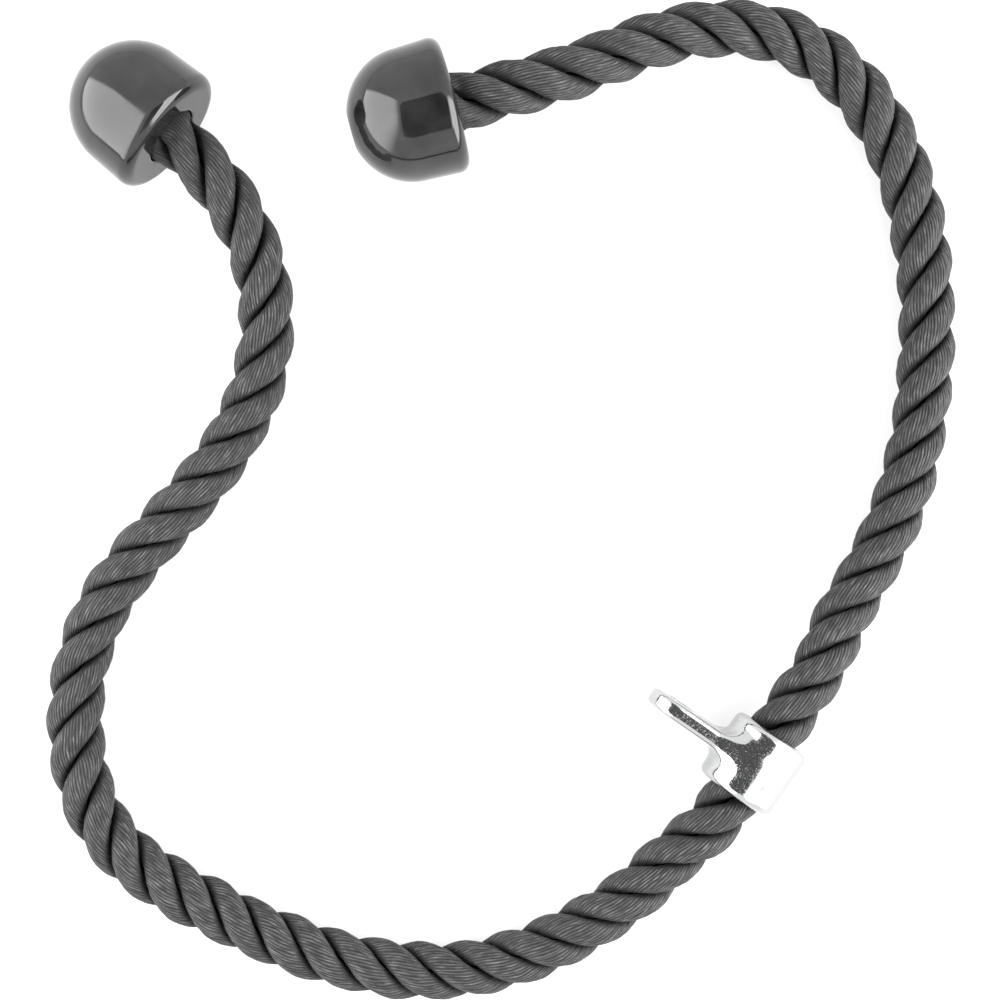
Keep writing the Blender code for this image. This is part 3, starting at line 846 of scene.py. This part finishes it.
def skinOf(distance, low, high, cell):
    # one point in each small cube that the skin passes through, moved onto the skin; a quad round each
    # grid edge whose ends lie on different sides
    low = np.array(low, float)
    axes = [np.arange(a, b + cell, cell) for a, b in zip(low, high)]
    field = distance(*np.meshgrid(*axes, indexing="ij"))
    inside = field < 0
    shape = np.array(field.shape) - 1
    corners = [np.array(c) for c in np.ndindex(2, 2, 2)]

    def atCorner(array, corner):
        i, j, k = corner
        return array[i : i + shape[0], j : j + shape[1], k : k + shape[2]]

    count = sum(atCorner(inside, corner).astype(int) for corner in corners)
    crossed = (count > 0) & (count < 8)
    cells = np.argwhere(crossed)
    index = np.full(tuple(shape), -1)
    index[crossed] = np.arange(len(cells))
    total, hits = np.zeros((len(cells), 3)), np.zeros(len(cells))
    for corner in corners:
        for axis in range(3):
            if corner[axis]:
                continue
            other = corner + np.eye(3, dtype=int)[axis]
            here = field[tuple((cells + corner).T)]
            there = field[tuple((cells + other).T)]
            cut = (here < 0) != (there < 0)
            share = np.where(cut, here / np.where(cut, here - there, 1), 0)
            place = corner + share[:, None] * np.eye(3)[axis]
            total += np.where(cut[:, None], place, 0)
            hits += cut
    points = low + (cells + total / hits[:, None]) * cell
    passes, leastSlope = 4, 0.25
    for _ in range(passes):
        slope = slopeOf(distance, points)
        move = distance(*points.T) / np.maximum((slope**2).sum(1), leastSlope)
        points = points - np.clip(move, -cell, cell)[:, None] * slope
    quads = []
    for axis in range(3):
        across, third = np.eye(3, dtype=int)[(axis + 1) % 3], np.eye(3, dtype=int)[(axis + 2) % 3]
        lowSide = np.take(inside, np.arange(shape[axis]), axis=axis)
        highSide = np.take(inside, np.arange(1, shape[axis] + 1), axis=axis)
        edges = np.argwhere(lowSide != highSide)
        ring = [edges - across - third, edges - third, edges, edges - across]
        quad = np.stack([index[tuple(spot.T)] for spot in ring], 1)
        turned = ~lowSide[tuple(edges.T)]
        quad[turned] = quad[turned][:, ::-1]
        quads.append(quad)
    return points, np.vstack(quads)


chromeLook = {
    "fleckScale": 1300.0,
    "roughness": (0.04, 0.48),  # between the flecks and on the dullest of them
    "filmScale": 140.0,
    "colours": [(0.3, (0.44, 0.445, 0.443)), (0.7, (0.46, 0.465, 0.463))],
    "pitScale": 1500.0,
    "bump": 0.000008,
    "bumpStrength": 0.5,
}


def chromeMaterial(look):
    # polished chrome over a casting: fine pits, dull flecks and a cloudy film
    material, tree, shader = startMaterial("polished chrome", (0.45, 0.455, 0.453), 0.05, 1.0)
    flecks = addSpeckle(tree, look["fleckScale"], 5.0, 0.7, 0.6)
    dull = addRange(tree, flecks, "Fac", 0.45, 0.78, *look["roughness"])
    joinNodes(tree, dull, "Result", shader, "Roughness")
    film = addSpeckle(tree, look["filmScale"], 4.0, 0.6)
    colours = addColours(tree, film, "Fac", look["colours"])
    joinNodes(tree, colours, "Color", shader, "Base Color")
    pits = addSpeckle(tree, look["pitScale"], 3.0, 0.6)
    addBump(tree, pits, "Fac", shader, look["bump"], look["bumpStrength"])
    return material


def makeCollar(shape):
    margin = 0.0015
    low = (-shape["halfLength"] - margin, -shape["barrel"] - margin, -shape["barrel"] - margin)
    high = (shape["halfLength"] + margin, shape["lugReach"] + margin, shape["barrel"] + margin)
    points, quads = skinOf(collarDistance, low, high, shape["cell"])
    normals = slopeOf(collarDistance, points)
    normals /= np.linalg.norm(normals, axis=1)[:, None]
    points = points + np.array(shape["middle"])
    finish = chromeMaterial(chromeLook)
    piece = putMesh("collar_casting", points, quads, None, finish, normals)
    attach(piece, "collar")
    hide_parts("collar")


makeCollar(collarShape)
print("collar cast")


# Inner pieces stay as the CAD nodes and get their finishes here
nylonLook = {
    "cloudScale": 90.0,
    "colours": [(0.3, (0.68, 0.66, 0.60)), (0.7, (0.78, 0.76, 0.71))],
    "fineScale": 900.0,
    "bump": 0.00003,
    "bumpStrength": 0.4,
}

platedLook = {
    "cloudScale": 220.0,
    "colours": [(0.3, (0.50, 0.50, 0.53)), (0.7, (0.68, 0.67, 0.66))],
    "roughness": (0.22, 0.42),
}


def nylonMaterial(look):
    material, tree, shader = startMaterial("natural nylon", (0.75, 0.73, 0.68), 0.4)
    cloud = addSpeckle(tree, look["cloudScale"], 3.0)
    colours = addColours(tree, cloud, "Fac", look["colours"])
    joinNodes(tree, colours, "Color", shader, "Base Color")
    fine = addSpeckle(tree, look["fineScale"], 2.0)
    addBump(tree, fine, "Fac", shader, look["bump"], look["bumpStrength"])
    return material


def platedMaterial(look):
    material, tree, shader = startMaterial("zinc plated steel", (0.6, 0.6, 0.62), 0.3, 1.0)
    cloud = addSpeckle(tree, look["cloudScale"], 4.0, 0.6)
    colours = addColours(tree, cloud, "Fac", look["colours"])
    joinNodes(tree, colours, "Color", shader, "Base Color")
    dull = addRange(tree, cloud, "Fac", 0.3, 0.8, *look["roughness"])
    joinNodes(tree, dull, "Result", shader, "Roughness")
    return material


nylonFinish, platedFinish = nylonMaterial(nylonLook), platedMaterial(platedLook)
for name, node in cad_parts.items():
    finish = nylonFinish if name == "collar_liner" else platedFinish
    if name.endswith(("liner", "ferrule", "washer", "screw")):
        for place in node.material_slots:
            place.material = finish
print("inner pieces finished")


# White lightbox: a bright tent, a soft light on either side and overhead, and the dark board that the
# camera looks through. Places are metres from the camera's line of sight, across and up in the picture,
# then height
studio = {
    "floorSize": 6.0,
    "floorDepth": -0.0003,
    "tentLight": 1.6,
    "floorGlow": 0.62,  # a lit floor, so that nothing throws a shadow on it
    "floorColours": [(0.29, 0.29, 0.29), (0.31, 0.31, 0.31)],
    "panels": {
        # size is height and width; the light fades out towards the top and the far and near sides
        "left": {
            "middle": (-0.6, -0.34, 1.0), "lean": -90, "size": (1.9, 1.64),
            "light": 5.5, "fade": (0.9, 0.06, 0.95),
        },
        "right": {
            "middle": (0.7, -0.13, 0.55), "lean": 90, "size": (1.0, 1.16),
            "light": 9.0, "fade": (0.35, 0.12, 0.2),
        },
        "upper": {
            "middle": (1.14, -0.65, 1.5), "lean": 0, "size": (1.72, 2.1),
            "light": 1.9, "fade": (0.05, 0.05, 0.05),
        },
    },
    "board": {
        "middle": (0.02, 0.0, 0.32), "size": (0.26, 0.40), "corner": 0.05,
        "colours": [(0.054, 0.054, 0.055), (0.062, 0.062, 0.063)],
    },
}


def pictureWays():
    # the picture's own directions in the frame, across and up
    turn = math.radians(cameraLook["turn"])
    cosine, sine = math.cos(turn), math.sin(turn)
    return np.array([cosine, sine, 0.0]), np.array([-sine, cosine, 0.0])


def fromPicture(place):
    acrossWay, upWay = pictureWays()
    across, up, height = place
    return np.array([*cameraLook["place"][:2], height]) + across * acrossWay + up * upWay


def levelSheet(name, middle, flat, faces, material):
    # flat points, across and up in the picture, laid level round a middle
    acrossWay, upWay = pictureWays()
    points = np.array(middle) + flat[:, :1] * acrossWay + flat[:, 1:] * upWay
    sheet = putMesh(name, points, *faces, material)
    return sheet


def squareSheet(name, middle, size, material):
    corners = np.array([(-1, -1), (1, -1), (1, 1), (-1, 1)]) * size / 2
    return levelSheet(name, middle, corners, (np.array([[0, 1, 2, 3]]), None), material)


def roundedSheet(name, middle, size, corner, material):
    # a fan of triangles to an outline of four straight sides and four quarter circles
    reach = np.array([size[0] / 2 - corner, size[1] / 2 - corner])
    step = 6  # degrees
    turned = np.radians(np.arange(0, 360, step) + step / 2)
    ways = np.stack([np.cos(turned), np.sin(turned)], 1)
    outline = np.sign(ways) * reach + corner * ways
    j = np.arange(len(outline))
    fan = np.stack([np.full(len(j), len(j)), j, (j + 1) % len(j)], 1)
    flat = np.vstack([outline, [0, 0]])
    return levelSheet(name, middle, flat, (np.zeros((0, 4), int), fan), material)


def paperMaterial(name, dark, light, glow=0.0):
    material, tree, shader = startMaterial(name, light, 0.85)
    shader.inputs["Emission Strength"].default_value = glow
    cloud = addSpeckle(tree, 3.0)
    colours = addColours(tree, cloud, "Fac", [(0.3, dark), (0.7, light)])
    joinNodes(tree, colours, "Color", shader, "Base Color")
    return material


def fadeEdges(light, look):
    # strength falls off smoothly next to three of the panel's edges
    light.use_nodes = True
    tree = light.node_tree
    place = addNode(tree, "ShaderNodeNewGeometry")
    parts = addNode(tree, "ShaderNodeSeparateXYZ")
    joinNodes(tree, place, "Parametric", parts, "Vector")
    (high, wide), (top, far, near) = look["size"], look["fade"]
    topShares = (top / high, 0.0) if look["lean"] > 0 else (1 - top / high, 1.0)
    edges = [("X", *topShares), ("Y", 1 - far / wide, 1.0), ("Y", near / wide, 0.0)]
    whole = None
    for axis, full, dark in edges:
        fade = addRange(tree, parts, axis, full, dark, 1.0, 0.0)
        fade.interpolation_type = "SMOOTHSTEP"
        if whole is None:
            whole = fade
            continue
        product = addNode(tree, "ShaderNodeMath", operation="MULTIPLY")
        joinNodes(tree, whole, 0, product, 0)
        joinNodes(tree, fade, "Result", product, 1)
        whole = product
    joinNodes(tree, whole, 0, tree.nodes["Emission"], "Strength")


def makePanel(name, look):
    # a flat light that leans over so many degrees from facing straight down
    light = bpy.data.lights.new(name, "AREA")
    light.shape = "RECTANGLE"
    light.size, light.size_y = look["size"]
    light.energy = look["light"] * math.pi * light.size * light.size_y
    fadeEdges(light, look)
    panel = bpy.data.objects.new(name, light)
    panel.location = fromPicture(look["middle"])
    panel.rotation_euler = (0, math.radians(look["lean"]), math.radians(cameraLook["turn"]))
    panel.visible_camera = False
    bpy.context.scene.collection.objects.link(panel)


def makeTent(strength):
    world = bpy.data.worlds.new("lightbox")
    world.use_nodes = True
    world.node_tree.nodes["Background"].inputs["Color"].default_value = (1, 1, 1, 1)
    world.node_tree.nodes["Background"].inputs["Strength"].default_value = strength
    bpy.context.scene.world = world


def makeStudio(look):
    middle = (*cameraLook["place"][:2], look["floorDepth"])
    paper = paperMaterial("white lightbox floor", *look["floorColours"], look["floorGlow"])
    squareSheet("floor", middle, look["floorSize"], paper)
    board = look["board"]
    card = paperMaterial("dark board", *board["colours"])
    place = fromPicture(board["middle"])
    sheet = roundedSheet("board", place, board["size"], board["corner"], card)
    sheet.visible_camera = False
    for name, panel in look["panels"].items():
        makePanel(f"{name}_light", panel)
    makeTent(look["tentLight"])


makeStudio(studio)
bpy.context.scene.view_settings.view_transform = "Standard"
print("studio lit")
